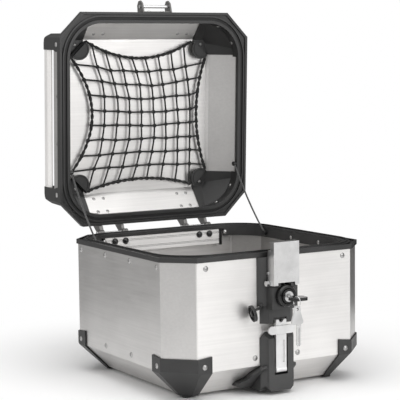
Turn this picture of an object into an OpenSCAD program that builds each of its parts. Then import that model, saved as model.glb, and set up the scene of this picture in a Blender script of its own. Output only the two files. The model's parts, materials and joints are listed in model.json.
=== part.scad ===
// Aluminium top case for a motorcycle: bevelled sheet base, hinged lid, front latch and lock.
// +X right, +Y towards the hinges, +Z up. The origin is the middle of the footprint, under the feet.
// Lid parts are drawn closed and then swung open about the hinge axis.

/* [Case] */
// Width over the base rim
case_w = 430; // [424:1:436]
// Depth over the base rim
case_d = 421.6; // [416:0.2:426]
// Height of the base rim's top face above the feet
base_h = 257.6; // [254:0.2:260]
// Leg of the cut corners, seen from above
corner_leg = 49; // [46:1:52]
// Sheet thickness of the body and lid
sheet = 1.5; // [1.2:0.1:2]
// How far the base's lower slope runs in
base_slope_in = 48; // [45:1:51]
// Height of the base's lower slope
base_slope_h = 47.3; // [44:0.1:50]
// How far the slope of the base's cut corners runs in
base_cut_in = 45; // [42:1:48]

/* [Lid] */
// Angle that the lid stands open at rest
lid_open = 87.8; // [80:0.1:95]
// Height of the lid's upright wall above its rim face
lid_wall_h = 37; // [35:1:40]
// How far the lid's slope runs in
lid_slope_in = 51; // [48:1:54]
// Height of the lid's slope
lid_slope_h = 42; // [40:1:44]
// How far the slope of the lid's cut corners runs in
lid_cut_in = 44; // [42:1:46]
// Gap between the two rims when shut
rim_gap = 0.8; // [0.5:0.1:1.5]

/* [Rims] */
// Width of the rim from its outer edge to the mouth
rim_w = 21; // [20:0.5:22]
// Corner radius of the mouth
mouth_r = 70; // [66:1:74]
// How far the rim stands proud of the sheet
rim_proud = 3.1; // [2.5:0.1:3.5]
// Depth of the base rim's inner skirt, below its top face
skirt_h = 22; // [21:1:24]

/* [Hinges and stays] */
// Distance of each hinge's middle from the centre line
hinge_x = 97.5; // [90:0.5:105]
// Length of each hinge
hinge_len = 66; // [60:1:72]
// Radius of the hinge pins
pin_r = 2.5; // [2:0.1:3]
// Radius of the stay cords
stay_r = 1.7; // [1.3:0.1:2]

/* [Latch and lock] */
// Width of the latch plate
latch_w = 54; // [50:1:56]
// Height of the lock's axis
lock_z = 180.9; // [180.6:0.1:181.2]
// Outer radius of the lock bezel
bezel_r = 20.2; // [19:0.1:20.4]
// Radius of the lock cylinder
plug_r = 9.3; // [9:0.1:9.6]

/* [Fixings] */
// Radius of a rivet head
rivet_r = 5.2; // [4.5:0.1:6]
// Radius of the carrier bolt holes
bolt_hole_r = 3.25; // [3:0.05:3.5]
// Side to side spacing of the carrier bolts
bolt_dx = 90; // [86:1:94]
// Front to back spacing of the carrier bolts
bolt_dy = 160; // [150:1:170]

/* [Hidden] */
$fn = 64;

foot_h = 6.4;
foot_top = 78.6;
foot_t = 3;
rim_x = case_w / 2;
rim_y = case_d / 2;
rim_s = rim_x + rim_y - corner_leg;
wall_x = rim_x - rim_proud;
wall_y = rim_y - rim_proud;
wall_s = rim_s - rim_proud * sqrt(2);
// where the side panels meet the front and rear sheet, just round the bend
seam_x = wall_s - wall_y + 1.5;
mouth_x = rim_x - rim_w;
mouth_y = rim_y - rim_w;

base_bend_z = foot_h + base_slope_h;
web_h = 4;
wall_top = base_h - web_h;
band_low = base_h - 8.6;
tongue_in = 8;
tongue_w = 2.6;
tongue_h = 3;

lid_z = base_h + rim_gap;
lid_web_h = 8;
lid_band_h = 12.3;
lid_bend_z = lid_z + lid_wall_h;
lid_top = lid_bend_z + lid_slope_h;
lid_slope_a = atan(lid_slope_h / lid_slope_in);
lid_over = 1.2;
cap_t = 2.5;

hinge_c = [-hinge_x - 5, hinge_x - 5];
hinge_y = rim_y + 16.5;
hinge_z = base_h - 1.8;
knuckle_r = 6;
fit = 0.05;

latch_y = -wall_y - 17.2;
latch_z = 203.4;
latch_front = latch_y - 16.8;
latch_top = 278;
block_y = -wall_y - 28.2;
release_y = -wall_y - 11.7;
release_z = 45.4;
lever_top = release_z + 90.7;
block_low = 156.7;
block_top = 197.4;
neck_low = 129.4;
lower_z = 6.9;

// middle of the hole in the key's bow, and the ring that hangs from it
bow_hole = [-10, -278];
bow_t = 5.5;
ring_r = 10.5;
ring_tilt = 25;
ring_c = [bow_hole[0], bow_hole[1] - ring_r * cos(ring_tilt), lock_z - ring_r * sin(ring_tilt)];

cap_pin = [-37, -213.5];
cap_turn = 28;
cap_z = 158.4;
bump_x = 14;
bump_r = 3.6;

stay_x = mouth_x - 4;
base_clip = [116, base_h - 13.2];
lid_clip = [103, lid_z + 5];
clip_r = 4.5;
stay_sag = 8;

rail_half = 137;
hook_c = [142, 137];
net_z = lid_top - 11;

// ---------- shared shapes ----------

module octagon(hx, hy, s)
    polygon([[s - hy, hy], [hx, s - hx], [hx, hx - s], [s - hy, -hy],
             [hy - s, -hy], [-hx, hx - s], [-hx, s - hx], [hy - s, hy]]);

module rim_outline(e) octagon(rim_x + e, rim_y + e, rim_s + e * sqrt(2));

module wall_outline(e) octagon(wall_x + e, wall_y + e, wall_s + e * sqrt(2));

// the mouth's rounded outline, grown by e
module mouth_outline(e) {
    hx = mouth_x + e;
    hy = mouth_y + e;
    r = mouth_r + e;
    square([2 * hx, 2 * (hy - r)], center = true);
    square([2 * (hx - r), 2 * hy], center = true);
    for (sx = [-1, 1], sy = [-1, 1]) translate([sx * (hx - r), sy * (hy - r)]) circle(r, $fn = 96);
}

// how far from the middle of a round corner a flat head of radius r rests on the skirt
function corner_seat(r) = sqrt(mouth_r * mouth_r - r * r) - 0.02;

module mouth_ring(e0, e1) difference() {
    mouth_outline(e1);
    mouth_outline(e0);
}

// half-width against height, for walls that end in a slope; e moves every face outwards
function slope_profile(half, in, z_flat, z_bend, z_end, e) =
    let (up = sign(z_flat - z_bend), a = atan(in / abs(z_flat - z_bend)),
         w = half + e, f = half - in + e * tan((90 - a) / 2),
         zb = z_bend + up * e * tan(a / 2), zf = z_flat + up * e)
    [[-w, z_end], [-w, zb], [-f, zf], [f, zf], [w, zb], [w, z_end]];

// an upright outline whose width lies across the case at angle a, carried right through the case
module facing(a) rotate([90, 0, a]) linear_extrude(1000, center = true) children();

// the four pairs of opposite walls; the cut corners start to slope at z_cut
module sloped_form(in, cut_in, z_flat, z_bend, z_cut, z_end, e) intersection() {
    facing(0) polygon(slope_profile(wall_x, in, z_flat, z_bend, z_end, e));
    facing(90) polygon(slope_profile(wall_y, in, z_flat, z_bend, z_end, e));
    facing(45) polygon(slope_profile(wall_s / sqrt(2), cut_in, z_flat, z_cut, z_end, e));
    facing(135) polygon(slope_profile(wall_s / sqrt(2), cut_in, z_flat, z_cut, z_end, e));
}

module base_form(e, z_end = wall_top)
    sloped_form(base_slope_in, base_cut_in, foot_h, base_bend_z, base_bend_z + 3, z_end, e);

module lid_form(e, z_end = lid_z + lid_web_h)
    sloped_form(lid_slope_in, lid_cut_in, lid_top, lid_bend_z, lid_z + lid_band_h + 1, z_end, e);

module base_sheet() difference() {
    base_form(0);
    base_form(-sheet, wall_top + 1);
}

module lid_sheet() difference() {
    lid_form(0);
    lid_form(-sheet, lid_z + lid_web_h - 1);
}

module slab_x(x0, x1) translate([x0, -300, -10]) cube([x1 - x0, 600, 400]);

// swings lid parts from shut to their rest position
module opened() translate([0, hinge_y, hinge_z]) rotate([-lid_open, 0, 0])
    translate([0, -hinge_y, -hinge_z]) children();

module flip(left, rear) {
    if (left && rear) mirror([1, 0, 0]) mirror([0, 1, 0]) children();
    else if (left) mirror([1, 0, 0]) children();
    else if (rear) mirror([0, 1, 0]) children();
    else children();
}

// a shallow domed head on the XY plane
module dome(r, h) {
    R = (r * r + h * h) / (2 * h);
    intersection() {
        translate([0, 0, h - R]) sphere(R);
        cylinder(r = r, h = h);
    }
}

module rivet(r = rivet_r, h = 2) difference() {
    dome(r, h);
    translate([0, 0, h - 0.9]) cylinder(r = r * 0.3, h = 2);
}

module screw_head(r = 5, h = 2.2) difference() {
    dome(r, h);
    translate([0, 0, h - 1]) cylinder(r = r * 0.4, h = 2, $fn = 6);
}

module on_front(x, z, y = wall_y) translate([x, -y, z]) rotate([90, 0, 0]) children();
module on_rear(x, z, y = wall_y) translate([x, y, z]) rotate([-90, 0, 0]) children();
module on_left(y, z, x = wall_x) translate([-x, y, z]) rotate([0, -90, 0]) children();
module on_right(y, z, x = wall_x) translate([x, y, z]) rotate([0, 90, 0]) children();

// a [y, z] outline drawn as is and carried along X
module side_profile(x0, x1) translate([x0, 0, 0]) rotate([90, 0, 90]) linear_extrude(x1 - x0) children();

// ---------- base ----------

module carrier_holes() for (sx = [-1, 1], sy = [-1, 1])
    translate([sx * bolt_dx / 2, sy * bolt_dy / 2, -1]) cylinder(r = bolt_hole_r, h = 12);

module body_wrap() color("silver") difference() {
    intersection() {
        base_sheet();
        slab_x(-seam_x, seam_x);
    }
    carrier_holes();
}

module side_panel() color("darkgray") intersection() {
    base_sheet();
    slab_x(seam_x, 300);
}

module base_rim() color([0.13, 0.13, 0.14]) difference() {
    union() {
        translate([0, 0, band_low]) linear_extrude(base_h - band_low) difference() {
            rim_outline(0);
            wall_outline(0);
        }
        translate([0, 0, wall_top]) linear_extrude(web_h) difference() {
            rim_outline(0);
            mouth_outline(0);
        }
        translate([0, 0, base_h - skirt_h]) linear_extrude(skirt_h) mouth_ring(0, 3);
        translate([0, 0, base_h - 1]) linear_extrude(tongue_h + 1)
            mouth_ring(tongue_in, tongue_in + tongue_w);
    }
    translate([0, 0, base_h - 3]) linear_extrude(10) corner_pockets();
    // room for the reinforcement bar inside the rear wall
    translate([bar_ends[0] - 9, mouth_y - 5, base_h - skirt_h - 1])
        cube([bar_ends[1] - bar_ends[0] + 18, 20, skirt_h - 6]);
}

// crescents between the straight corner and the round seal track
module corner_pockets() difference() {
    rim_outline(-4);
    mouth_outline(15.5);
}

// corner protector, drawn in the +X +Y corner
module corner_foot() color([0.12, 0.12, 0.13]) union() {
    difference() {
        intersection() {
            base_form(foot_t, foot_top + 6);
            facing(0) foot_outline(137);
            facing(90) foot_outline(132.5);
        }
        base_form(0);
    }
    translate([153, 147, 0]) cylinder(r = 8.2, h = foot_h - foot_t + 1);
}

// upright outline of a protector that starts at x and whose flap rises away from the corner
module foot_outline(x) polygon([[x, 0], [x, foot_top + 3.4], [166, foot_top], [200, foot_top],
                                [203, foot_top + 5], [240, foot_top + 5], [240, 0]]);

module foot_screws() color("silver") for (left = [false, true], rear = [false, true]) flip(left, rear) {
    on_rear(152, 64.4, wall_y + foot_t) screw_head();
    on_right(150, 64.4, wall_x + foot_t) screw_head();
}

module body_rivets() color("silver") {
    for (s = [-1, 1]) {
        on_front(s * 147, base_h - 20) rivet();
        on_rear(s * 147, base_h - 20) rivet();
        on_front(s * 46, 68.4) rivet();
        on_rear(s * 46, 68.4) rivet();
        for (y = [48, 148]) {
            on_left(s * y, base_h - 19) rivet();
            on_right(s * y, base_h - 19) rivet();
        }
        on_left(s * 50, 66.4) rivet();
        on_right(s * 50, 66.4) rivet();
        // heads on the inner skirt
        for (y = [-66, 28]) translate([s * mouth_x, y, base_h - 14]) rotate([0, -s * 90, 0]) dome(4, 1.5);
        translate([s * 110, -mouth_y, base_h - 14]) rotate([-90, 0, 0]) dome(4, 1.5);
        flip(s < 0, false) translate([mouth_x - mouth_r, mouth_y - mouth_r, base_h - 14])
            rotate([0, 0, 77]) translate([corner_seat(4), 0, 0]) rotate([0, -90, 0]) dome(4, 1.5);
    }
}

bar_low = base_h - 37.7;
bar_high = base_h - 7.7;
bar_front = mouth_y + 1.2;
bar_ends = [-139, 127];

module rear_bar() color("silver") side_profile(bar_ends[0], bar_ends[1]) difference() {
    translate([bar_front, bar_low]) square([wall_y - sheet - bar_front, bar_high - bar_low]);
    for (k = [0.22, 0.3, 0.72, 0.8])
        translate([bar_front - 1, bar_low + k * (bar_high - bar_low)]) square([2, 1.2]);
}

module rear_bar_ends() color([0.1, 0.1, 0.1]) for (x = [bar_ends[0] - 5, bar_ends[1]])
    translate([x, bar_front - 2.5, bar_low - 2.5])
        cube([5, wall_y - sheet - bar_front + 2.5, bar_high - bar_low + 3]);

module hinge_bolt_caps() color([0.08, 0.08, 0.08]) for (c = hinge_c, dx = [-12.5, 11.5])
    translate([c + dx - 1, bar_front, base_h - 15.7]) rotate([90, 0, 0]) {
        cylinder(r = 6.5, h = 1.5);
        translate([0, 0, 1.5]) dome(6, 4.5);
    }

module base_hinge(c) color([0.3, 0.3, 0.31]) difference() {
    union() {
        translate([c - hinge_len / 2, wall_y, base_h - 43]) cube([hinge_len, 3, 33]);
        for (x = [c - hinge_len / 2, c + hinge_len / 2 - 5]) side_profile(x, x + 5) {
            polygon([[wall_y, base_h - 46], [wall_y + 4, base_h - 46], [hinge_y + 4, hinge_z - 8],
                     [hinge_y + knuckle_r - 0.3, hinge_z], [hinge_y - 5, hinge_z + 1.5],
                     [rim_y + 2, base_h - 10], [wall_y, base_h - 10]]);
            translate([hinge_y, hinge_z]) circle(knuckle_r);
        }
    }
    side_profile(c - hinge_len, c + hinge_len) translate([hinge_y, hinge_z]) circle(pin_r + fit);
}

module hinge_pin(c) color("silver") {
    side_profile(c - hinge_len / 2 - 1, c + hinge_len / 2 + 1) translate([hinge_y, hinge_z]) circle(pin_r);
    for (x = [c - hinge_len / 2 - 2, c + hinge_len / 2 + 0.2])
        side_profile(x, x + 1.8) translate([hinge_y, hinge_z]) circle(pin_r + 1.6);
}

module lid_hinge(c) color([0.35, 0.34, 0.34]) opened() difference() {
    union() {
        translate([c - hinge_len / 2 + 6, wall_y, lid_z + lid_band_h + 0.5]) cube([hinge_len - 12, 3, 19]);
        for (ear = [[5.4, 13.4], [hinge_len - 11.4, hinge_len - 5.4]])
            side_profile(c - hinge_len / 2 + ear[0], c - hinge_len / 2 + ear[1]) {
            polygon([[wall_y, lid_z + 32], [wall_y, lid_z + lid_band_h + 0.5],
                     [rim_y + 2.2, lid_z + lid_band_h + 0.5], [rim_y + 2.2, hinge_z + 4],
                     [hinge_y, hinge_z - 2], [hinge_y + knuckle_r - 0.3, hinge_z + 1],
                     [hinge_y + 1, lid_z + 12], [wall_y + 6, lid_z + 32]]);
            translate([hinge_y, hinge_z]) circle(knuckle_r);
        }
    }
    side_profile(c - hinge_len, c + hinge_len) translate([hinge_y, hinge_z]) circle(pin_r + fit);
}

// the moulding under the floor that meets a luggage carrier
module carrier_plate() color([0.12, 0.12, 0.13]) difference() {
    linear_extrude(foot_h) polygon([[-62, -84], [-50, -96], [50, -96], [62, -84], [62, 146], [50, 158],
                                    [-50, 158], [-62, 146]]);
    carrier_holes();
    // pockets for the hooks of a carrier
    for (x = [-40, 26]) translate([x, 120, -1]) cube([14, 26, 4.4]);
    // lightening pockets between ribs
    for (x = [-33, 3], y = [-76, -34, 8, 50]) translate([x, y, -1]) cube([30, 36, 3.5]);
}

// ---------- lock housings and latch ----------

module lower_lock_housing() color([0.15, 0.15, 0.16]) difference() {
    union() {
        translate([0, 0, lower_z]) linear_extrude(106.5) polygon(
            [[-36, -wall_y + 0.2], [-36, -wall_y - 2], [-28, -wall_y - 10.5], [-26, -wall_y - 15.2],
             [26, -wall_y - 15.2], [28, -wall_y - 10.5], [36, -wall_y - 2], [36, -wall_y + 0.2]]);
        translate([-36, -wall_y, lower_z]) cube([72, base_slope_in, base_bend_z - lower_z]);
        // raised fairing on the slope
        intersection() {
            base_form(12);
            translate([0, -wall_y + base_slope_in, 0]) rotate([90, 0, 0]) linear_extrude(60) polygon(
                [[-55, 9], [-71, 15], [-70, 22], [-54, 31], [-50, 40], [-34, base_bend_z],
                 [34, base_bend_z], [34, 9]]);
        }
    }
    base_form(0);
    // sloped top
    side_profile(-50, 50) polygon([[-wall_y + 1, lower_z + 107.5], [-wall_y - 15.3, lower_z + 95.5],
                                   [-wall_y - 30, lower_z + 95.5], [-wall_y - 30, 130], [-wall_y + 1, 130]]);
    // front corners, large below and small above
    for (s = [-1, 1]) {
        translate([s * 30, -wall_y - 20, lower_z]) rotate([0, 45, 0]) cube([14, 40, 14], center = true);
        translate([s * 36.5, -wall_y - 20, lower_z + 106.5]) rotate([0, 45, 0])
            cube([15, 60, 15], center = true);
    }
    // slot that the lever swings in
    translate([-14, -wall_y - 16, 36.4]) cube([28, 12, 90]);
    side_profile(-19, 19) translate([release_y, release_z]) circle(2 + fit);
}

module release_lever() color([0.9, 0.9, 0.9]) difference() {
    union() {
        side_profile(-11, 11) {
            translate([release_y - 4, release_z]) square([5.5, lever_top - release_z]);
            translate([release_y, release_z]) circle(5.4);
        }
        // finger bar with rounded ends
        translate([0, release_y - 2, 0]) rotate([90, 0, 0]) linear_extrude(4) {
            translate([-22, lever_top - 26]) square([44, 15]);
            for (s = [-1, 1]) translate([s * 20.5, lever_top - 18.5]) circle(7.5);
        }
    }
    side_profile(-20, 20) translate([release_y, release_z]) circle(2 + fit);
    // notch between the two upper ears
    translate([0, -wall_y, lever_top]) rotate([90, 0, 0]) cylinder(r = 5, h = 60);
    // long groove down the face
    translate([3, release_y - 5, 58.4]) cube([3.5, 2.2, 40]);
}

module release_pin() color("silver") side_profile(-18, 18) translate([release_y, release_z]) circle(2);

module upper_lock_housing() color([0.15, 0.15, 0.16]) difference() {
    union() {
        // part behind the latch plate
        translate([0, 0, 161.8]) linear_extrude(band_low - 161.8) polygon(
            [[-42, -wall_y], [-40, -wall_y - 3], [-32, -wall_y - 8], [-27, -wall_y - 10.2],
             [27, -wall_y - 10.2], [32, -wall_y - 8], [40, -wall_y - 3], [42, -wall_y]]);
        // lock block
        translate([-27, block_y, block_low]) cube([54, -wall_y - block_y, block_top - block_low]);
        // narrow lower part
        translate([0, 0, neck_low]) linear_extrude(33) polygon(
            [[-36, -wall_y], [-31, -wall_y - 5.2], [-23, -wall_y - 12.2],
             [23, -wall_y - 12.2], [31, -wall_y - 5.2], [36, -wall_y]]);
        // lugs for the latch pivot
        for (x = [-24.6, 12.6]) side_profile(x, x + 12) {
            translate([latch_y, latch_z]) circle(4.8);
            translate([latch_y, block_top - 1]) square([10, latch_z + 5.8 - block_top]);
            translate([latch_y - 4.8, block_top - 1]) square([10, latch_z + 1 - block_top]);
        }
        // bumps that show in the latch plate's notch
        for (s = [-1, 1]) translate([s * bump_x, block_y - 3, block_top + 3.4]) rotate([-90, 0, 0])
            cylinder(r = bump_r, h = 12);
        // stub that the dust cap's strap turns on
        translate([cap_pin[0], cap_pin[1], 162.2]) cylinder(r = 3.2, h = 4.5);
        translate([cap_pin[0], cap_pin[1], cap_z - 3]) cylinder(r = 1.2, h = 8);
    }
    translate([0, -wall_y - 5, lock_z]) rotate([90, 0, 0]) cylinder(r = plug_r + fit, h = 40);
    side_profile(-40, 40) translate([latch_y, latch_z]) circle(pin_r + fit);
    // room for the lever's ears
    translate([-14, -wall_y - 20, neck_low - 1]) cube([28, 11, 11]);
}

module lock_part(r0, r1, y0, y1) translate([0, y0, lock_z]) rotate([90, 0, 0]) difference() {
    cylinder(r = r1, h = y0 - y1);
    translate([0, 0, -1]) cylinder(r = r0, h = y0 - y1 + 2);
}

module lock_bezel() color([0.1, 0.1, 0.1]) translate([0, block_y, lock_z]) rotate([90, 0, 0]) rotate_extrude()
    polygon([[12.8, 0], [bezel_r, 0], [bezel_r - 0.6, 7], [bezel_r - 2.5, 10], [14.4, 10], [12.8, 8]]);

module lock_ring() color([0.05, 0.05, 0.05]) lock_part(plug_r + fit, 12.7, block_y, block_y - 11.5);

module lock_cylinder() color("silver") difference() {
    translate([0, -wall_y - 16, lock_z]) rotate([90, 0, 0]) cylinder(r = plug_r, h = 25.2);
    translate([-4.4, -wall_y - 50, lock_z - 1.5]) cube([8.8, 32, 3]);
}

module key_blade() color("silver") translate([-4, bow_y0 - 1, lock_z - 1.1]) cube([8, 32, 2.2]);

bow_y0 = -wall_y - 49.5;
bow_y1 = -wall_y - 80.5;

module key_bow() color([0.12, 0.12, 0.12]) difference() {
    translate([0, 0, lock_z - bow_t / 2]) linear_extrude(bow_t) {
        translate([-5, bow_y0 - 10]) square([10, 10]);
        for (s = [-1, 1]) translate([s * 8.5, bow_y1 + 7]) circle(7);
        for (s = [-1, 1]) translate([s * 8.5, bow_y1 + 17]) circle(7);
        translate([-15.5, bow_y1 + 7]) square([31, 10]);
        translate([-8.5, bow_y1]) square([17, 24]);
    }
    translate([bow_hole[0], bow_hole[1], lock_z - 10]) cylinder(r = 3.3, h = 20);
    translate([-4, bow_y0 - 1, lock_z - 1.1]) cube([8, 32, 2.2]);
}

module key_ring() color("silver") translate(ring_c) rotate([0, 90, 0])
    rotate_extrude($fn = 96) translate([ring_r, 0]) circle(0.8, $fn = 24);

spare_z = ring_c[2] - ring_r - 1.2;
spare_y = ring_c[1];

module spare_key() color("silver") translate([ring_c[0], spare_y, 0]) rotate([90, 0, 0])
    linear_extrude(2.2, center = true) difference() {
        union() {
            translate([-1.5, 101]) square([9, spare_z - 27 - 101]);
            translate([0.5, 99]) square([5, 3]);
        }
        for (k = [0:4]) translate([7.5, 106 + 4 * k]) rotate(45) square(2.2, center = true);
        translate([2.6, 98]) square([1.2, spare_z - 34 - 98]);
    }

module spare_key_bow() color([0.72, 0.72, 0.7]) translate([ring_c[0], spare_y, spare_z])
    rotate([90, 0, 0])
    linear_extrude(3.4, center = true) difference() {
        union() {
            translate([0, -1]) circle(7);
            polygon([[-6, -3], [6, -3], [11.5, -21], [7.5, -27], [-7.5, -27], [-11.5, -21]]);
            for (s = [-1, 1]) translate([s * 7, -22]) circle(5);
        }
        circle(2.5);
    }

// the strap turns on a stub, and its disc stands across the strap's end
module dust_cap() color([0.08, 0.08, 0.08]) translate([cap_pin[0], cap_pin[1], cap_z])
    rotate([0, 0, cap_turn]) difference() {
        union() {
            translate([0, 0, -2.6]) cylinder(r = 2.8, h = 5.8);
            translate([-25, -1.2, -2]) cube([24, 2.4, 4.4]);
            translate([-25, 0, -5]) rotate([0, -13, -38]) rotate([0, -90, 0]) {
                cylinder(r = 13, h = 1.6);
                difference() {
                    cylinder(r = 15, h = 4.5);
                    translate([0, 0, 1.5]) cylinder(r = 12.4, h = 4);
                }
                cylinder(r = 5, h = 5.5);
            }
        }
        translate([0, 0, -20]) cylinder(r = 1.25, h = 40);
    }

module latch_plate() color("silver") difference() {
    h = latch_w / 2;
    union() {
        translate([-h, latch_front, latch_z - 3]) cube([latch_w, 1.8, latch_top - latch_z + 3]);
        translate([-h, latch_front, latch_top - 1.6]) cube([latch_w, 14.4, 1.6]);
        for (x = [-h, h - 1.8]) side_profile(x, x + 1.8) {
            polygon([[latch_front, latch_z - 3], [latch_y, latch_z - 4.6], [latch_y + 5, latch_z],
                     [latch_y + 3.5, latch_z + 8], [latch_y + 3.5, latch_z + 52], [latch_y + 2, latch_z + 59],
                     [latch_y - 3, latch_z + 60], [latch_front + 10.8, latch_z + 57.5],
                     [latch_front + 10.8, latch_top], [latch_front, latch_top]]);
            translate([latch_y, latch_z]) circle(5);
        }
        // cross pin whose heads show on the side flanges
        side_profile(-h - 1.4, h + 1.4) translate([latch_y + 2.5, latch_z + 17.6]) circle(2.2);
    }
    // notch that clears the lock bezel, with a lobe over each bump
    translate([-18, latch_front - 1, latch_z - 10]) cube([36, 6, 11.8]);
    for (s = [-1, 1]) translate([s * bump_x, latch_front + 5, block_top + 3.4]) rotate([90, 0, 0])
        cylinder(r = bump_r + 0.6, h = 10);
    side_profile(-h - 1, h + 1) translate([latch_y, latch_z]) circle(pin_r + fit);
}

module latch_pivot() color("whitesmoke") {
    side_profile(-28, 28) translate([latch_y, latch_z]) circle(pin_r);
    side_profile(-33.6, -27.4) translate([latch_y, latch_z]) circle(5.2, $fn = 6);
    side_profile(27.4, 30.6) translate([latch_y, latch_z]) circle(5.2, $fn = 6);
}

// ---------- stays ----------

module base_stay_clips() color([0.1, 0.1, 0.1]) for (s = [-1, 1])
    translate([s * mouth_x, base_clip[0], base_clip[1]]) rotate([0, -s * 90, 0]) cylinder(r = clip_r, h = 7);

module lid_stay_clips() color([0.1, 0.1, 0.1]) opened() for (s = [-1, 1])
    translate([s * mouth_x, lid_clip[0], lid_clip[1]]) rotate([0, -s * 90, 0]) cylinder(r = clip_r, h = 7);

function opened_yz(p) = let (dy = p[0] - hinge_y, dz = p[1] - hinge_z)
    [hinge_y + dy * cos(lid_open) + dz * sin(lid_open), hinge_z - dy * sin(lid_open) + dz * cos(lid_open)];

// [y, z] of the cord, which hangs in a plane of constant x
function stay_point(t) = let (a = base_clip, b = opened_yz(lid_clip), u = (b - a) / norm(b - a),
    p = a + u * (clip_r + 0.4), q = b - u * (clip_r + 0.4))
    p + (q - p) * t - [0, 4 * stay_sag * t * (1 - t)];

// a tube of n sides swept along points that lie in one plane of constant x
module planar_tube(x, pts, r, n = 8) {
    m = len(pts);
    dirs = [for (i = [0:m - 1]) let (d = pts[min(i + 1, m - 1)] - pts[max(i - 1, 0)]) d / norm(d)];
    ring = [for (i = [0:m - 1], k = [0:n - 1]) let (a = 360 * k / n)
        [x + r * cos(a), pts[i][0] - r * sin(a) * dirs[i][1], pts[i][1] + r * sin(a) * dirs[i][0]]];
    sides = [for (i = [0:m - 2], k = [0:n - 1])
        [i * n + k, i * n + (k + 1) % n, (i + 1) * n + (k + 1) % n, (i + 1) * n + k]];
    polyhedron(ring, concat(sides, [[for (k = [n - 1:-1:0]) k], [for (k = [0:n - 1]) (m - 1) * n + k]]));
}

module stay(x) color([0.25, 0.25, 0.25]) planar_tube(x, [for (i = [0:16]) stay_point(i / 16)], stay_r);

// ---------- lid ----------

module lid_wrap() color("silver") opened() intersection() {
    lid_sheet();
    slab_x(-seam_x, seam_x);
}

module lid_side() color("darkgray") intersection() {
    lid_sheet();
    slab_x(seam_x, 300);
}

module lid_rim() color([0.13, 0.13, 0.14]) opened() difference() {
    union() {
        translate([0, 0, lid_z]) linear_extrude(lid_band_h) difference() {
            rim_outline(lid_over);
            wall_outline(0);
        }
        translate([0, 0, lid_z]) linear_extrude(lid_web_h) difference() {
            rim_outline(0);
            mouth_outline(0);
        }
        // skirt, at the round corners only
        translate([0, 0, lid_z]) linear_extrude(skirt_h) intersection() {
            mouth_ring(0, 3);
            for (sx = [-1, 1], sy = [-1, 1])
                translate([sx * (mouth_x - 25), sy * (mouth_y - 25)]) square([88, 88], center = true);
        }
    }
    translate([0, 0, lid_z - 1]) linear_extrude(7) mouth_ring(tongue_in - 1.7, tongue_in + tongue_w + 1.7);
    translate([0, 0, lid_z - 1]) linear_extrude(4) corner_pockets();
}

module lid_seal() color([0.05, 0.05, 0.05]) opened() translate([0, 0, base_h + tongue_h + 0.4])
    linear_extrude(lid_z + 6 - base_h - tongue_h - 0.4)
        mouth_ring(tongue_in - 1.4, tongue_in + tongue_w + 1.4);

// outer corner cap with the block that carries the end of a rail, in the +X +Y corner
module lid_cap() color([0.1, 0.1, 0.1]) difference() {
    union() {
        intersection() {
            lid_form(cap_t, lid_z + lid_band_h);
            translate([139, 131, 0]) cube(200);
            // rounded lower ends of the two tabs
            translate([0, 0, 200]) linear_extrude(200) polygon(
                [[144, 131], [300, 131], [300, 300], [139, 300], [139, 136]]);
        }
        intersection() {
            translate([0, 0, 200]) linear_extrude(200) wall_outline(cap_t);
            side_profile(150, 300) polygon([[rail_half, lid_z + lid_band_h + 20],
                [134, lid_z + lid_band_h + 12], [134, lid_z + lid_band_h], [170, lid_z + lid_band_h],
                [169, lid_top - 20], [164, lid_top - 9], [156, lid_top - 1], [148, lid_top + 3.4],
                [rail_half, lid_top + 4.5]]);
            rotate([90, 0, 0]) linear_extrude(600, center = true) polygon([[150, lid_top + 2],
                [165, lid_top + 4.5], [wall_x - 4, lid_top + 4.5], [wall_x + 1.2, lid_top + 2],
                [wall_x + cap_t, lid_top - 3], [wall_x + cap_t, 200], [150, 200]]);
        }
    }
    lid_form(0);
}

module rail(s) color("gainsboro") opened() flip(s < 0, false)
    rotate([90, 0, 0]) linear_extrude(2 * rail_half, center = true) polygon(
        [[wall_x + 1.4, lid_top - 15], [wall_x + 1.4, lid_top - 2], [wall_x - 1.5, lid_top + 0.7],
         [wall_x - 9, lid_top + 0.7], [wall_x - 9, lid_top - 13], [wall_x - 5, lid_top - 24.6],
         [wall_x - 3, lid_top - 24.6]]);

module lid_liner() color([0.2, 0.2, 0.21]) difference() {
    intersection() {
        lid_form(-sheet);
        translate([129, 124, 0]) cube(400);
    }
    lid_form(-sheet - 2.5, lid_z + lid_web_h - 1);
}

module on_lid_slope(x, f, rear, inner) flip(false, rear)
    translate([x, -wall_y + lid_slope_in * f, lid_bend_z + lid_slope_h * f])
        rotate([lid_slope_a, 0, 0]) translate([0, 0, inner ? -sheet : 0])
            rotate([inner ? 180 : 0, 0, 0]) children();

module lid_rivets() color("silver") opened() {
    for (s = [-1, 1]) {
        on_left(s * 47, lid_z + 20) rivet();
        on_right(s * 47, lid_z + 20) rivet();
    }
    for (x = [-108.5, -87, 87, 108.5], f = [0.3, 0.77], rear = [false, true]) {
        on_lid_slope(x, f, rear, false) rivet(rivet_r, 1.8);
        on_lid_slope(x, f, rear, true) rivet(3.6, 1.4);
    }
}

module cap_screws() color("silver") opened() for (left = [false, true], rear = [false, true])
flip(left, rear) {
    on_rear(149, lid_z + 21, wall_y + cap_t) screw_head();
    on_right(148, lid_z + 21, wall_x + cap_t) screw_head();
    translate([147, 146, lid_top - sheet - 2.5]) rotate([180, 0, 0]) screw_head(3.6, 1.8);
    // heads on the skirt's round corners
    for (a = [25, 65]) translate([mouth_x - mouth_r, mouth_y - mouth_r, lid_z + 17]) rotate([0, 0, a])
        translate([corner_seat(3.6), 0, 0]) rotate([0, -90, 0]) screw_head(3.6, 1.6);
}

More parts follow.
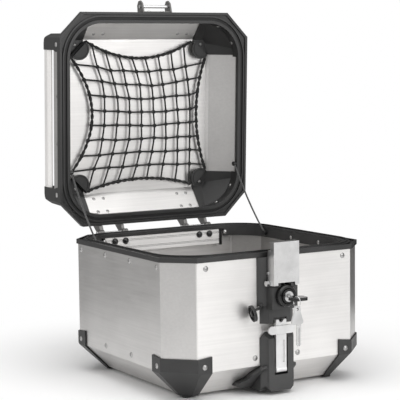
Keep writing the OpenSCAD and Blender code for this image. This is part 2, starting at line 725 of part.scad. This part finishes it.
// half-round posts with a wider lip, one under each corner of the lid's ceiling
module net_hooks() color([0.12, 0.12, 0.13]) opened() for (left = [false, true], rear = [false, true])
    flip(left, rear) translate([hook_c[0], hook_c[1], 0]) rotate([0, 0, 45]) difference() {
        union() {
            translate([0, 0, lid_top - sheet - 2.5 - 8]) cylinder(r = 16, h = 8);
            translate([0, 0, lid_top - sheet - 2.5 - 11]) cylinder(r = 21.5, h = 3);
        }
        translate([0, -40, 200]) cube([80, 80, 300]);
        // groove that leaves a raised edge round the lip
        translate([0, 0, lid_top - sheet - 2.5 - 12]) difference() {
            cylinder(r = 18.4, h = 1.9);
            translate([0, 0, -1]) cylinder(r = 16.6, h = 4);
        }
    }

// flat stand-in for the elastic net, with its four bowed sides
module cargo_net() color([0.06, 0.06, 0.06]) opened() translate([0, 0, net_z - 0.8])
linear_extrude(1.6) difference() {
    square([310, 300], center = true);
    for (s = [-1, 1]) {
        translate([0, s * 372]) circle(255, $fn = 128);
        translate([s * 372, 0]) circle(255, $fn = 128);
        for (sy = [-1, 1]) translate([s * hook_c[0], sy * hook_c[1]]) circle(19);
    }
}

module striker_bracket() color([0.35, 0.35, 0.33]) opened() difference() {
    union() {
        translate([-31.4, -rim_y - lid_over - 1.8, lid_z + 3]) cube([66.6, 1.8, 8]);
        for (x = [-31.4, 32]) side_profile(x, x + 3.2) {
            polygon([[-rim_y - lid_over, lid_z + 1], [-rim_y - lid_over, lid_z + 25],
                     [-wall_y - 17, lid_z + 27], [-wall_y - 26, lid_z + 22],
                     [-wall_y - 27.5, lid_z + 15], [-wall_y - 22, lid_z + 7]]);
        }
    }
    side_profile(-50, 50) translate([latch_y + 2, bar_z]) circle(3.2 + fit);
}

bar_z = latch_top - 5.6;

module striker_bar() color("silver") opened() {
    side_profile(-33.4, 37.2) translate([latch_y + 2, bar_z]) circle(3.2);
    for (x = [-15, 15]) translate([x, -rim_y - lid_over - 1.8, lid_z + 7])
        rotate([90, 0, 0]) screw_head(3.2, 1.6);
}

// ---------- assembly ----------

body_wrap();
flip(true, false) side_panel();  // side_panel_left
side_panel();  // side_panel_right
base_rim();
flip(true, false) flip(false, true) corner_foot();  // foot_front_left
flip(false, true) corner_foot();  // foot_front_right
flip(true, false) corner_foot();  // foot_rear_left
corner_foot();  // foot_rear_right
foot_screws();
body_rivets();
rear_bar();
rear_bar_ends();
hinge_bolt_caps();
base_hinge(hinge_c[0]);  // base_hinge_left
base_hinge(hinge_c[1]);  // base_hinge_right
hinge_pin(hinge_c[0]);  // hinge_pin_left
hinge_pin(hinge_c[1]);  // hinge_pin_right
lid_hinge(hinge_c[0]);  // lid_hinge_left
lid_hinge(hinge_c[1]);  // lid_hinge_right
carrier_plate();
upper_lock_housing();
lower_lock_housing();
lock_bezel();
lock_ring();
lock_cylinder();
key_blade();
key_bow();
key_ring();
spare_key();
spare_key_bow();
dust_cap();
latch_plate();
latch_pivot();
release_lever();
release_pin();
base_stay_clips();
lid_stay_clips();
stay(-stay_x);  // stay_left
stay(stay_x);  // stay_right
lid_wrap();
opened() flip(true, false) lid_side();  // lid_side_left
opened() lid_side();  // lid_side_right
lid_rim();
lid_seal();
opened() flip(true, true) lid_cap();  // lid_cap_front_left
opened() flip(false, true) lid_cap();  // lid_cap_front_right
opened() flip(true, false) lid_cap();  // lid_cap_rear_left
opened() lid_cap();  // lid_cap_rear_right
opened() flip(true, true) lid_liner();  // lid_liner_front_left
opened() flip(false, true) lid_liner();  // lid_liner_front_right
opened() flip(true, false) lid_liner();  // lid_liner_rear_left
opened() lid_liner();  // lid_liner_rear_right
rail(-1);  // rail_left
rail(1);  // rail_right
lid_rivets();
cap_screws();
net_hooks();
cargo_net();
striker_bracket();
striker_bar();
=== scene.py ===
"""Looks for the aluminium top case: materials, stay cords, the lid's stretch net, light and camera."""

import json
import math
import random

import bpy
from mathutils import Matrix, Vector


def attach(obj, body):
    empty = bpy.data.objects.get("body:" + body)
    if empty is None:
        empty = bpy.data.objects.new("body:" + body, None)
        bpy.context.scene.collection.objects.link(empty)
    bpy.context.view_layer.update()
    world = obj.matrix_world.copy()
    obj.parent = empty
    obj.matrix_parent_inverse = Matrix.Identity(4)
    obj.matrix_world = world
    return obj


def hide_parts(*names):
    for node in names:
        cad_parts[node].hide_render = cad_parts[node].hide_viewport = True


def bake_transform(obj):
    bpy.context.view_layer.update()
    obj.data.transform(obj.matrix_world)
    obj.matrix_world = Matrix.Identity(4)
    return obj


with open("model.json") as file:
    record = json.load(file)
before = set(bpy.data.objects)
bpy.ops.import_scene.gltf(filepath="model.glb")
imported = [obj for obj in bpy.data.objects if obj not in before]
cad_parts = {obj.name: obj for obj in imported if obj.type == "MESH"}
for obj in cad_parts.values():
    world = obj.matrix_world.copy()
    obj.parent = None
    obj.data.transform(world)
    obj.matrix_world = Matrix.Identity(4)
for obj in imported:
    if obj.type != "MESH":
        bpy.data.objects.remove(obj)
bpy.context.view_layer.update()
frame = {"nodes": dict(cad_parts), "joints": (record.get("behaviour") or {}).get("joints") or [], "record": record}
nodes = frame["nodes"]
random.seed(7)

MM = 0.001


# ---------- the lid's swing ----------

lid_joint = next(j for j in frame["joints"] if j["name"] == "lid_hinge")
HINGE = Vector(lid_joint["pos_m"])
LID_ANGLE = math.radians(lid_joint["range_deg"][1])
OPENING = Matrix.Translation(HINGE) @ Matrix.Rotation(-LID_ANGLE, 4, "X") @ Matrix.Translation(-HINGE)


def on_open_lid(x, y, z):
    """A point given on the shut lid, in millimetres, moved to where the open lid holds it, in metres."""
    return OPENING @ (Vector((x, y, z)) * MM)


# ---------- material building ----------

def grey(value, warmth=0.0):
    return (value * (1 + warmth), value, value * (1 - warmth))


def set_stops(ramp, stops):
    """Gives a colour ramp its stops, each one a place from 0 to 1 and a colour."""
    elements = ramp.elements
    while len(elements) < len(stops):
        elements.new(0.5)
    for element, (place, shade) in zip(elements, stops):
        element.position = place
        element.color = (*shade, 1)


class Shader:
    """A Principled material with short calls for the noise, ramps and bumps that feed it."""

    def __init__(self, name, **sockets):
        self.material = bpy.data.materials.new(name)
        self.material.use_nodes = True
        self.tree = self.material.node_tree
        self.bsdf = self.tree.nodes["Principled BSDF"]
        for key, value in sockets.items():
            self.bsdf.inputs[key.replace("_", " ")].default_value = value
        self.coords = self.tree.nodes.new("ShaderNodeTexCoord").outputs["Object"]

    def node(self, kind, **settings):
        made = self.tree.nodes.new(kind)
        for key, value in settings.items():
            setattr(made, key, value)
        return made

    def link(self, source, target):
        self.tree.links.new(source, target)

    def stretched(self, scale):
        mapping = self.node("ShaderNodeMapping")
        mapping.inputs["Scale"].default_value = scale
        self.link(self.coords, mapping.inputs["Vector"])
        return mapping.outputs["Vector"]

    def noise(self, scale, detail, stretch=(1, 1, 1)):
        made = self.node("ShaderNodeTexNoise")
        made.inputs["Scale"].default_value = scale
        made.inputs["Detail"].default_value = detail
        self.link(self.stretched(stretch), made.inputs["Vector"])
        return made.outputs["Fac"]

    def ramp(self, factor, stops):
        made = self.node("ShaderNodeValToRGB")
        set_stops(made.color_ramp, stops)
        self.link(factor, made.inputs["Fac"])
        return made.outputs["Color"]

    def spread(self, factor, low, high):
        """Maps a noise value, mostly 0.3 to 0.7, to a number between low and high."""
        made = self.node("ShaderNodeMapRange")
        made.inputs["From Min"].default_value = 0.3
        made.inputs["From Max"].default_value = 0.7
        made.inputs["To Min"].default_value = low
        made.inputs["To Max"].default_value = high
        self.link(factor, made.inputs["Value"])
        return made.outputs["Result"]

    def paint(self, factor, stops, corner_shade, reach):
        """Base colour from the ramp, with painted shade that darkens it, by up to the given depth (0 to 1), within
        reach (mm) of a corner.
        """
        # painted shade: ambient occlusion darkens the colour near corners, crevices and where parts meet
        corners = self.node("ShaderNodeAmbientOcclusion", samples=6)
        corners.inputs["Distance"].default_value = reach * MM
        painted_shade = self.ramp(corners.outputs["AO"], [(0.25, grey(1 - corner_shade)), (0.8, grey(1.0))])
        mixed = self.node("ShaderNodeMix", data_type="RGBA", blend_type="MULTIPLY")
        mixed.inputs["Factor"].default_value = 1
        self.link(self.ramp(factor, stops), mixed.inputs["A"])
        self.link(painted_shade, mixed.inputs["B"])
        self.link(mixed.outputs["Result"], self.bsdf.inputs["Base Color"])

    def bump(self, height, distance, strength, edge=0.0):
        """A bump that is distance high, over edges rounded by the radius edge, both in metres."""
        made = self.node("ShaderNodeBump")
        made.inputs["Distance"].default_value = distance
        made.inputs["Strength"].default_value = strength
        self.link(height, made.inputs["Height"])
        if edge:
            bevel = self.node("ShaderNodeBevel", samples=6)
            bevel.inputs["Radius"].default_value = edge
            self.link(bevel.outputs["Normal"], made.inputs["Normal"])
        self.link(made.outputs["Normal"], self.bsdf.inputs["Normal"])


# ---------- one function for each kind of surface ----------

def sheet_metal(name, tone, rough, grain, edge=0.6 * MM, metallic=1.0):
    """Satin anodised aluminium: a fine brushed grain along one axis, faint clouding, painted shade in corners."""
    shader = Shader(name, Metallic=metallic)
    clouds = shader.noise(scale=9, detail=4)
    streaks = shader.noise(scale=260, detail=3, stretch=grain)
    both = shader.node("ShaderNodeMix", data_type="FLOAT")
    both.inputs["Factor"].default_value = 0.35
    shader.link(clouds, both.inputs["A"])
    shader.link(streaks, both.inputs["B"])
    stops = [(0.35, grey(tone * 0.92, 0.015)), (0.65, grey(tone * 1.06, 0.015))]
    shader.paint(both.outputs["Result"], stops, corner_shade=0.7, reach=2.5)
    lines = shader.noise(scale=900, detail=2, stretch=grain)
    shader.link(shader.spread(lines, rough * 0.85, rough * 1.2), shader.bsdf.inputs["Roughness"])
    shader.bump(lines, 0.03 * MM, strength=0.35, edge=edge)
    return shader.material


def moulded(name, tone, rough, grain_scale=1400, grain_depth=0.08 * MM, edge=0.8 * MM):
    """Moulded plastic with a fine spark-eroded texture, dusty variation in its sheen, and painted shade in
    corners.
    """
    shader = Shader(name, Metallic=0.0, IOR=1.48)
    dust = shader.noise(scale=22, detail=5)
    shader.paint(dust, [(0.3, grey(tone * 0.85)), (0.75, grey(tone * 1.25))], corner_shade=0.9, reach=9)
    shader.link(shader.spread(dust, rough - 0.06, rough + 0.07), shader.bsdf.inputs["Roughness"])
    shader.bump(shader.noise(grain_scale, detail=2), grain_depth, strength=0.5, edge=edge)
    return shader.material


def steel(name, tone, rough, grain=(1, 1, 1), warmth=0.0, metallic=1.0, edge=0.3 * MM):
    """Steel or a silver painted casting: faint patches, fine lines along the grain, and painted shade in corners.
    """
    shader = Shader(name, Metallic=metallic, IOR=1.5)
    patches = shader.noise(scale=60, detail=4)
    stops = [(0.3, grey(tone * 0.9, warmth)), (0.7, grey(tone * 1.06, warmth))]
    shader.paint(patches, stops, corner_shade=0.75, reach=2.5)
    lines = shader.noise(scale=700, detail=2, stretch=grain)
    shader.link(shader.spread(lines, rough * 0.9, rough * 1.12), shader.bsdf.inputs["Roughness"])
    shader.bump(lines, 0.015 * MM, strength=0.15, edge=edge)
    return shader.material


def rubber(name, tone, rough):
    """Matt rubber with a dusty bloom."""
    shader = Shader(name, Metallic=0.0, IOR=1.45, Sheen_Weight=0.15)
    bloom = shader.noise(scale=45, detail=4)
    colour = shader.ramp(bloom, [(0.3, grey(tone * 0.8)), (0.75, grey(tone * 1.3))])
    shader.link(colour, shader.bsdf.inputs["Base Color"])
    shader.link(shader.spread(bloom, rough - 0.05, rough + 0.08), shader.bsdf.inputs["Roughness"])
    shader.bump(shader.noise(scale=900, detail=2), 0.05 * MM, strength=0.4)
    return shader.material


def braid(name, tone, pitch):
    """Braided cord: rounded cells of the strands' size, with a painted highlight in the middle of each and painted
    shade between them.
    """
    shader = Shader(name, Metallic=0.0, Roughness=0.75, IOR=1.4, Sheen_Weight=0.35, Sheen_Roughness=0.5)
    strands = shader.node("ShaderNodeTexVoronoi", feature="F1")
    strands.inputs["Scale"].default_value = 1 / pitch
    shader.link(shader.coords, strands.inputs["Vector"])
    # painted highlight on each strand's middle and painted shade in the gaps between strands
    colour = shader.ramp(strands.outputs["Distance"], [(0.1, grey(tone * 1.5)), (0.6, grey(tone * 0.5))])
    shader.link(colour, shader.bsdf.inputs["Base Color"])
    shader.bump(strands.outputs["Distance"], 0.25 * MM, strength=0.7)
    return shader.material


# noise drawn out into lines along one axis
ALONG_X = (0.02, 1, 1)
ALONG_Y = (1, 0.02, 1)
ALONG_Z = (1, 1, 0.02)

slot_looks = {
    "brushed_aluminium": sheet_metal("brushed_aluminium", 0.80, 0.42, ALONG_X, metallic=0.92),
    "anodised_side": sheet_metal("anodised_side", 0.62, 0.36, ALONG_Y),
    "extrusion": sheet_metal("extrusion", 0.94, 0.45, ALONG_X, 0.3 * MM, 0.55),
    "rim_plastic": moulded("rim_plastic", 0.030, 0.34),
    "corner_plastic": moulded("corner_plastic", 0.030, 0.45),
    "liner_plastic": moulded("liner_plastic", 0.030, 0.36),
    "housing_plastic": moulded("housing_plastic", 0.046, 0.45),
    "black_gloss": moulded("black_gloss", 0.012, 0.25, 900, 0.02 * MM, 0.4 * MM),
    "grey_steel": steel("grey_steel", 0.20, 0.42, warmth=0.02),
    "bright_steel": steel("bright_steel", 0.72, 0.24),
    "latch_steel": steel("latch_steel", 0.72, 0.30, ALONG_Z),
    "cast_lever": steel("cast_lever", 0.75, 0.38, metallic=0.6, edge=0.7 * MM),
    "seal_rubber": rubber("seal_rubber", 0.007, 0.5),
    "net_elastic": braid("net_elastic", 0.015, 1.1 * MM),
    "cord": braid("cord", 0.09, 0.9 * MM),
    "tag_plastic": moulded("tag_plastic", 0.55, 0.35, 500, 0.02 * MM, 0.4 * MM),
}

# rivets and screws are duller than the lock, keys and pins of the same slot
head_steel = steel("head_steel", 0.46, 0.34, warmth=0.01)
HEADS = ("body_rivets", "lid_rivets", "cap_screws", "foot_screws")

for part in frame["record"]["subparts"]:
    look = head_steel if part["node"] in HEADS else slot_looks[part["material_slot"]]
    mesh = nodes[part["node"]].data
    mesh.materials.clear()
    mesh.materials.append(look)


# ---------- shared shapes ----------

def parabola(start, middle, end, t):
    """The curve through three values at t = 0, 0.5 and 1."""
    return start * (2 * t - 1) * (t - 1) + 4 * middle * t * (1 - t) + end * t * (2 * t - 1)


def jitter(size):
    return random.uniform(-size, size)


def add_object(name, data):
    made = bpy.data.objects.new(name, data)
    bpy.context.scene.collection.objects.link(made)
    return made


def add_mesh(name, points, faces, look):
    mesh = bpy.data.meshes.new(name)
    mesh.from_pydata([tuple(point) for point in points], [], faces)
    mesh.polygons.foreach_set("use_smooth", [True] * len(mesh.polygons))
    mesh.materials.append(look)
    mesh.update()
    return add_object(name, mesh)


def add_cords(name, routes, radius):
    """One curve object whose splines run smoothly through routes in metres, radius in millimetres."""
    data = bpy.data.curves.new(name, "CURVE")
    data.dimensions = "3D"
    data.bevel_depth = radius * MM
    data.bevel_resolution = 3
    data.resolution_u = 4
    data.use_fill_caps = True
    for route in routes:
        spline = data.splines.new("BEZIER")
        spline.bezier_points.add(len(route) - 1)
        for point, place in zip(spline.bezier_points, route):
            point.co = place
            point.handle_left_type = point.handle_right_type = "AUTO"
    return add_object(name, data)


# ---------- stay cords ----------

STAY_X = 190                # either side of the middle
STAY_BASE = (116, 244.4)    # y and z of the clip on the base rim
STAY_LID = (103, 263.4)     # y and z of the clip on the shut lid
STAY_END = 4.9              # from a clip's middle to the end of the cord
STAY_SAG = 8
STAY_R = 1.7
STAY_STEPS = 120
STAY_SIDES = 12
BRAID_PITCH = 5.2           # along the cord, from one strand to the next
BRAID_STRANDS = 4           # wound each way round the cord
BRAID_HEIGHT = 0.12         # how far they rise and fall


def stay_route(x):
    """The cord's centreline from the base clip to the open lid's clip, in metres."""
    low = Vector((x, *STAY_BASE)) * MM
    high = on_open_lid(x, *STAY_LID)
    pull = (high - low).normalized() * STAY_END * MM
    low, high = low + pull, high - pull
    sag = Vector((0, 0, STAY_SAG * MM))
    steps = [k / STAY_STEPS for k in range(STAY_STEPS + 1)]
    return [low.lerp(high, t) - sag * 4 * t * (1 - t) for t in steps]


def braided_tube(name, route, radius, look):
    """A tube whose skin rises and falls with strands wound both ways round it."""
    points, faces = [], []
    length = 0
    for k, place in enumerate(route):
        before, after = route[max(k - 1, 0)], route[min(k + 1, len(route) - 1)]
        forward = (after - before).normalized()
        side = forward.cross(Vector((1, 0, 0))).normalized()
        across = forward.cross(side)
        length += (place - before).length / MM
        for m in range(STAY_SIDES):
            around = math.tau * m / STAY_SIDES
            turn = math.tau * length / BRAID_PITCH
            wave = BRAID_STRANDS * around
            weave = BRAID_HEIGHT * math.sin(wave + turn) * math.sin(wave - turn)
            reach = (radius + weave) * MM
            points.append(place + (side * math.cos(around) + across * math.sin(around)) * reach)
    for k in range(len(route) - 1):
        for m in range(STAY_SIDES):
            n = (m + 1) % STAY_SIDES
            low, high = k * STAY_SIDES, (k + 1) * STAY_SIDES
            faces.append((low + m, low + n, high + n, high + m))
    faces.append(tuple(reversed(range(STAY_SIDES))))
    faces.append(tuple(range(len(points) - STAY_SIDES, len(points))))
    return add_mesh(name, points, faces, look)


def add_stay(name, x, node):
    route = stay_route(x)
    cord = braided_tube(name, route, STAY_R, slot_looks["cord"])
    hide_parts(node)
    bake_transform(cord)


add_stay("stay_cord_left", -STAY_X, "stay_left")
add_stay("stay_cord_right", STAY_X, "stay_right")


# ---------- stretch net ----------

NET_Z = 326.4           # height on the shut lid
MESHES = 9              # openings each way
CORD_R = 1.8
LAYER = 0.8             # columns lie this far above the middle, rows as far below it
UNEVEN = 1.6            # how far a crossing may stray along x and along y
TWIST_R = 1.7           # two border strands wind round each other this far off the line
TWIST_STEPS = 40        # points along a side
TWIST_TURN = 1.5        # angle from one point to the next, in radians
LOOP_R = CORD_R + 0.6   # the border is thicker at the hooks
LOOP_RISE = 1.5
KNOT_R = 2.5
KNOT_CORD_R = 1.7
KNOT_POINTS = 9         # two turns, with a point each quarter
KNOT_DEPTH = 1.6
KNOT_STEP = 0.4         # rise from one point to the next
KNOT_TURN = 0.6         # how far a knot may be turned, in radians

# each side of the net: its first corner, the deepest point of its bow, its last corner
SIDES = {
    "front": ((-127, -153), (-4, -118), (119, -151)),
    "rear": ((-127, 152), (-4, 131), (119, 148)),
    "left": ((-161, -122), (-112, -5), (-160, 112)),
    "right": ((156, -123), (133, -3), (156, 118)),
}

# where cords cross: first and last cord at either edge, and half way along
COLUMN_X = {"front": (-112, 102), "middle": (-82, 118), "rear": (-121, 117)}
ROW_Y = {"edge": (-107, 109), "middle": (-90, 103)}


def on_side(side, t):
    """The point of a side from its first corner (t = 0) to its last (t = 1)."""
    corner, bow, other = SIDES[side]
    return tuple(parabola(a, b, c, t) for a, b, c in zip(corner, bow, other))


def side_at(side, axis, value):
    """The point of a side whose x (axis 0) or y (axis 1) is the given value."""
    first, last = SIDES[side][0][axis], SIDES[side][2][axis]
    return on_side(side, (value - first) / (last - first))


def between(ends, k):
    """Place of cord k, counted from 1, between the first and last cord."""
    return ends[0] + (ends[1] - ends[0]) * (k - 1) / (MESHES - 2)


def column_x(i, v):
    """x of column i, from the front edge (v = 0) to the rear edge (v = 1)."""
    return parabola(*(between(COLUMN_X[key], i) for key in ("front", "middle", "rear")), v)


def row_y(j, u):
    """y of row j, from the left edge (u = 0) to the right edge (u = 1)."""
    return parabola(*(between(ROW_Y[key], j) for key in ("edge", "middle", "edge")), u)


def crossings():
    """Crossing of every column i and row j, and where each ends on the border (0 and MESHES)."""
    grid = {}
    cords = range(1, MESHES)
    for i in cords:
        for j in cords:
            x, y = column_x(i, j / MESHES), row_y(j, i / MESHES)
            grid[i, j] = (x + jitter(UNEVEN), y + jitter(UNEVEN))
        grid[i, 0] = side_at("front", 0, column_x(i, 0))
        grid[i, MESHES] = side_at("rear", 0, column_x(i, 1))
    for j in cords:
        grid[0, j] = side_at("left", 1, row_y(j, 0))
        grid[MESHES, j] = side_at("right", 1, row_y(j, 1))
    return grid


def twisted_side(side, phase):
    """One of the two strands that wind round each other along a side."""
    strand = []
    for k in range(TWIST_STEPS + 1):
        x, y = on_side(side, k / TWIST_STEPS)
        turn = phase + k * TWIST_TURN
        shift = TWIST_R * math.cos(turn)
        along_x = side in ("front", "rear")
        x, y = (x, y + shift) if along_x else (x + shift, y)
        strand.append(on_open_lid(x, y, NET_Z + TWIST_R * math.sin(turn)))
    return strand


def corner_loop(first, last):
    """The border round a hook, from one side's end to the next side's."""
    corner = Vector(first).lerp(Vector(last), 0.5)
    middle = on_open_lid(*corner, NET_Z + LOOP_RISE)
    return [on_open_lid(*first, NET_Z), middle, on_open_lid(*last, NET_Z)]


def knot(x, y):
    """A short cord wound round a crossing."""
    start = jitter(KNOT_TURN)
    wrap = []
    for k in range(KNOT_POINTS):
        turn = start + k * math.tau / 4
        height = NET_Z - KNOT_DEPTH + KNOT_STEP * k
        wrap.append(on_open_lid(x + KNOT_R * math.cos(turn), y + KNOT_R * math.sin(turn), height))
    return wrap


def build_net():
    grid = crossings()
    cords = range(1, MESHES)
    ends = range(MESHES + 1)
    columns = [[on_open_lid(*grid[i, j], NET_Z + LAYER) for j in ends] for i in cords]
    rows = [[on_open_lid(*grid[i, j], NET_Z - LAYER) for i in ends] for j in cords]
    strands = [twisted_side(side, phase) for side in SIDES for phase in (0, math.pi)]
    loops = [
        corner_loop(SIDES[across][end], SIDES[along][place])
        for across, place in (("front", 0), ("rear", 2))
        for along, end in (("left", 0), ("right", 2))
    ]
    knots = [knot(*place) for (i, j), place in grid.items() if i in cords and j in cords]
    ties = [knot(*place) for (i, j), place in grid.items() if i not in cords or j not in cords]
    return [
        add_cords("net_cords", columns + rows, CORD_R),
        add_cords("net_border", strands, CORD_R),
        add_cords("net_corners", loops, LOOP_R),
        add_cords("net_knots", knots + ties, KNOT_CORD_R),
    ]


for piece in build_net():
    piece.data.materials.append(slot_looks["net_elastic"])
    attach(piece, "lid")
    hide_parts("cargo_net")


# ---------- floor, light and camera ----------

FLOOR_R = 0.8
FLOOR_SIDES = 96
FADE_START = 0.35    # of the floor's radius
FADE_END = 0.90

# brightness of the room from its lit side (0) to its dark side (1)
ROOM = [(0.0, 0.75), (0.36, 1.15), (0.62, 0.42), (0.86, 0.28), (0.97, 0.05)]
ROOM_WARMTH = 0.006

# the photo's camera, worked out from the corners of the rim; angles in degrees
CAMERA_PLACE = (-1.4182, -2.3169, 0.6002)
AZIMUTH, ELEVATION, ROLL = -30.883, 5.616, -0.674
LENS = 128.9
SENSOR = 36


def add_floor(radius):
    """A pale round table top that fades into the white background towards its edge."""
    around = [math.tau * k / FLOOR_SIDES for k in range(FLOOR_SIDES)]
    rim = [(radius * math.cos(a), radius * math.sin(a), 0) for a in around]
    shader = Shader("studio_floor", Roughness=0.7)
    colour = shader.ramp(shader.noise(scale=2, detail=2), [(0.3, grey(0.90)), (0.7, grey(0.93))])
    shader.link(colour, shader.bsdf.inputs["Base Color"])
    reach = shader.node("ShaderNodeVectorMath", operation="LENGTH")
    shader.link(shader.coords, reach.inputs[0])
    fade = shader.node("ShaderNodeMapRange", interpolation_type="SMOOTHSTEP")
    fade.inputs["From Min"].default_value = FADE_START * radius
    fade.inputs["From Max"].default_value = FADE_END * radius
    shader.link(reach.outputs["Value"], fade.inputs["Value"])
    seen = shader.node("ShaderNodeMath", operation="MULTIPLY")
    shader.link(fade.outputs["Result"], seen.inputs[0])
    shader.link(shader.node("ShaderNodeLightPath").outputs["Is Camera Ray"], seen.inputs[1])
    white = shader.node("ShaderNodeEmission")
    both = shader.node("ShaderNodeMixShader")
    shader.link(seen.outputs["Value"], both.inputs["Fac"])
    shader.link(shader.bsdf.outputs["BSDF"], both.inputs[1])
    shader.link(white.outputs["Emission"], both.inputs[2])
    shader.link(both.outputs["Shader"], shader.tree.nodes["Material Output"].inputs["Surface"])
    add_mesh("floor", rim, [tuple(range(FLOOR_SIDES))], shader.material)


def add_area_light(name, place, target, size, power):
    data = bpy.data.lights.new(name, "AREA")
    data.shape = "RECTANGLE"
    data.size, data.size_y = size
    data.energy = power
    light = add_object(name, data)
    light.location = place
    light.rotation_euler = (Vector(target) - Vector(place)).to_track_quat("-Z", "Y").to_euler()


def add_world(dark_side, strength):
    """A pale studio, dimmer towards one side, behind a plain white background."""
    world = bpy.data.worlds.new("studio")
    bpy.context.scene.world = world
    world.use_nodes = True
    tree = world.node_tree
    room = tree.nodes["Background"]
    room.inputs["Strength"].default_value = strength
    towards = tree.nodes.new("ShaderNodeVectorMath")
    towards.operation = "DOT_PRODUCT"
    towards.inputs[1].default_value = dark_side
    tree.links.new(tree.nodes.new("ShaderNodeTexCoord").outputs["Generated"], towards.inputs[0])
    facing = tree.nodes.new("ShaderNodeMapRange")
    facing.inputs["From Min"].default_value = -1
    tree.links.new(towards.outputs["Value"], facing.inputs["Value"])
    shades = tree.nodes.new("ShaderNodeValToRGB")
    set_stops(shades.color_ramp, [(place, grey(shade, ROOM_WARMTH)) for place, shade in ROOM])
    tree.links.new(facing.outputs["Result"], shades.inputs["Fac"])
    tree.links.new(shades.outputs["Color"], room.inputs["Color"])
    backdrop = tree.nodes.new("ShaderNodeBackground")
    backdrop.inputs["Color"].default_value = (1, 1, 1, 1)
    choice = tree.nodes.new("ShaderNodeMixShader")
    tree.links.new(tree.nodes.new("ShaderNodeLightPath").outputs["Is Camera Ray"], choice.inputs["Fac"])
    tree.links.new(room.outputs["Background"], choice.inputs[1])
    tree.links.new(backdrop.outputs["Background"], choice.inputs[2])
    tree.links.new(choice.outputs["Shader"], tree.nodes["World Output"].inputs["Surface"])


def add_camera():
    azimuth, elevation, roll = (math.radians(angle) for angle in (AZIMUTH, ELEVATION, ROLL))
    flat = math.cos(elevation)
    back = Vector((math.sin(azimuth) * flat, -math.cos(azimuth) * flat, math.sin(elevation)))
    data = bpy.data.cameras.new("camera")
    data.sensor_width = SENSOR
    data.lens = LENS
    data.clip_end = 80
    camera = add_object("camera", data)
    camera.location = CAMERA_PLACE
    right = (-back).cross(Vector((0, 0, 1))).normalized()
    up = right.cross(-back)
    turned_right = math.cos(roll) * right + math.sin(roll) * up
    turned_up = -math.sin(roll) * right + math.cos(roll) * up
    camera.rotation_mode = "QUATERNION"
    camera.rotation_quaternion = Matrix((turned_right, turned_up, back)).transposed().to_quaternion()
    bpy.context.scene.camera = camera


add_floor(FLOOR_R)
add_world(dark_side=(0.70, 0.70, -0.10), strength=0.85)
add_area_light("front_right", place=(0.9, -2.8, 1.2), target=(0, 0, 0.3), size=(1.6, 1.4), power=20)
add_area_light("overhead", place=(-0.2, -0.3, 2.9), target=(0, 0, 0.2), size=(3.6, 3.6), power=62)
add_camera()
bpy.context.scene.view_settings.view_transform = "Standard"
